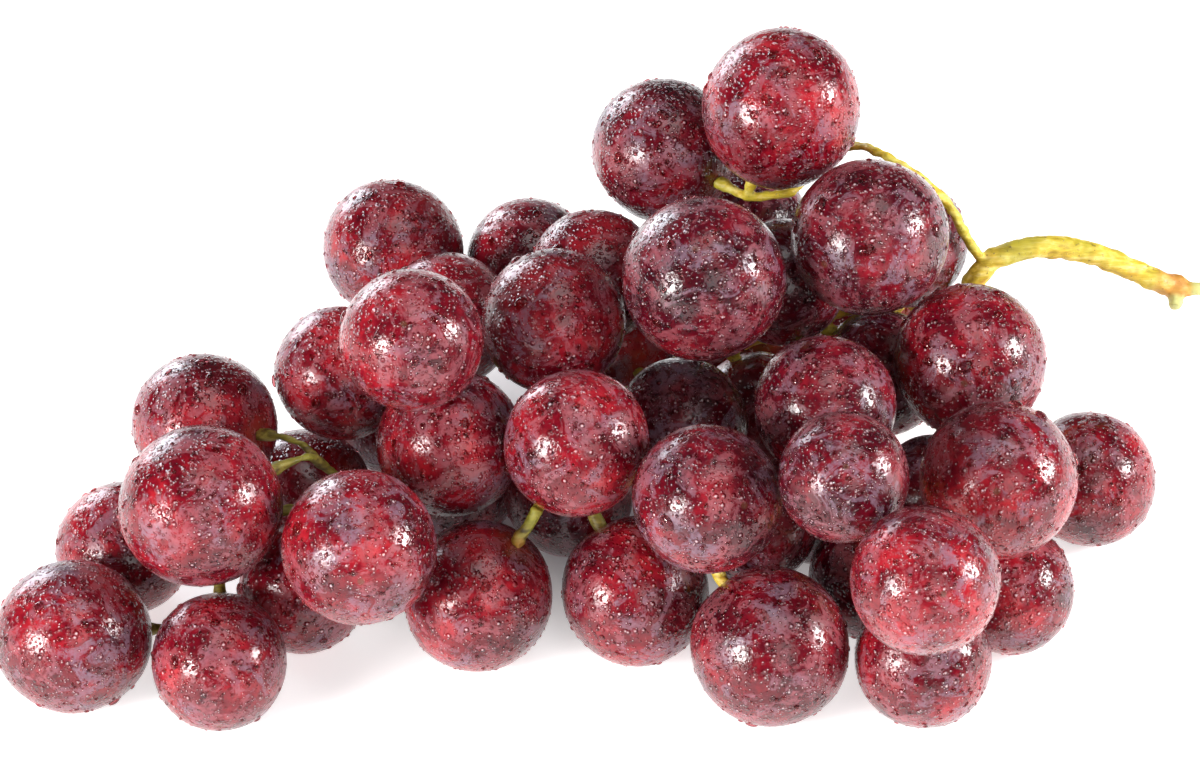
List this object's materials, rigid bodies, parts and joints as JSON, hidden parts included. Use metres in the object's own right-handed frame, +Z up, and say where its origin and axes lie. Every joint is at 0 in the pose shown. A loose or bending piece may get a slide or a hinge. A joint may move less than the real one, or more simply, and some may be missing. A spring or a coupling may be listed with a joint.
{
  "type": "bunch of grapes",
  "caption": "bunch of large round red table grapes lying on a surface, its berries packed round a branched stem that ends in a bare cut cane knot",
  "frame": {"origin": "centre of the bunch's bounding box, on the surface it lies on", "axes": "+X along the bunch to the cut end of its stem, +Y away from the viewer, +Z up"},
  "size_m": [0.1902, 0.1182, 0.077],
  "materials": {
    "grape_skin": "thin translucent skin, dark crimson to plum, with a pale waxy bloom and fine dew",
    "stem_bark": "smooth yellow-green stalk with paler streaks, browner at the cut end"
  },
  "bodies": {
    "root": {"grape_01": "grape_skin", "grape_02": "grape_skin", "grape_03": "grape_skin", "grape_04": "grape_skin", "grape_05": "grape_skin", "grape_06": "grape_skin", "grape_07": "grape_skin", "grape_08": "grape_skin", "grape_09": "grape_skin", "grape_10": "grape_skin", "grape_11": "grape_skin", "grape_12": "grape_skin", "grape_13": "grape_skin", "grape_14": "grape_skin", "grape_15": "grape_skin", "grape_16": "grape_skin", "grape_17": "grape_skin", "grape_18": "grape_skin", "grape_19": "grape_skin", "grape_20": "grape_skin", "grape_21": "grape_skin", "grape_22": "grape_skin", "grape_23": "grape_skin", "grape_24": "grape_skin", "grape_25": "grape_skin", "grape_26": "grape_skin", "grape_27": "grape_skin", "grape_28": "grape_skin", "grape_29": "grape_skin", "grape_30": "grape_skin", "grape_31": "grape_skin", "grape_32": "grape_skin", "grape_33": "grape_skin", "grape_34": "grape_skin", "grape_35": "grape_skin", "grape_36": "grape_skin", "grape_37": "grape_skin", "grape_38": "grape_skin", "grape_39": "grape_skin", "grape_40": "grape_skin", "grape_41": "grape_skin", "grape_42": "grape_skin", "grape_43": "grape_skin", "grape_44": "grape_skin", "grape_45": "grape_skin", "grape_46": "grape_skin", "grape_47": "grape_skin", "grape_48": "grape_skin", "grape_49": "grape_skin", "stem": "stem_bark"}
  },
  "joints": []
}
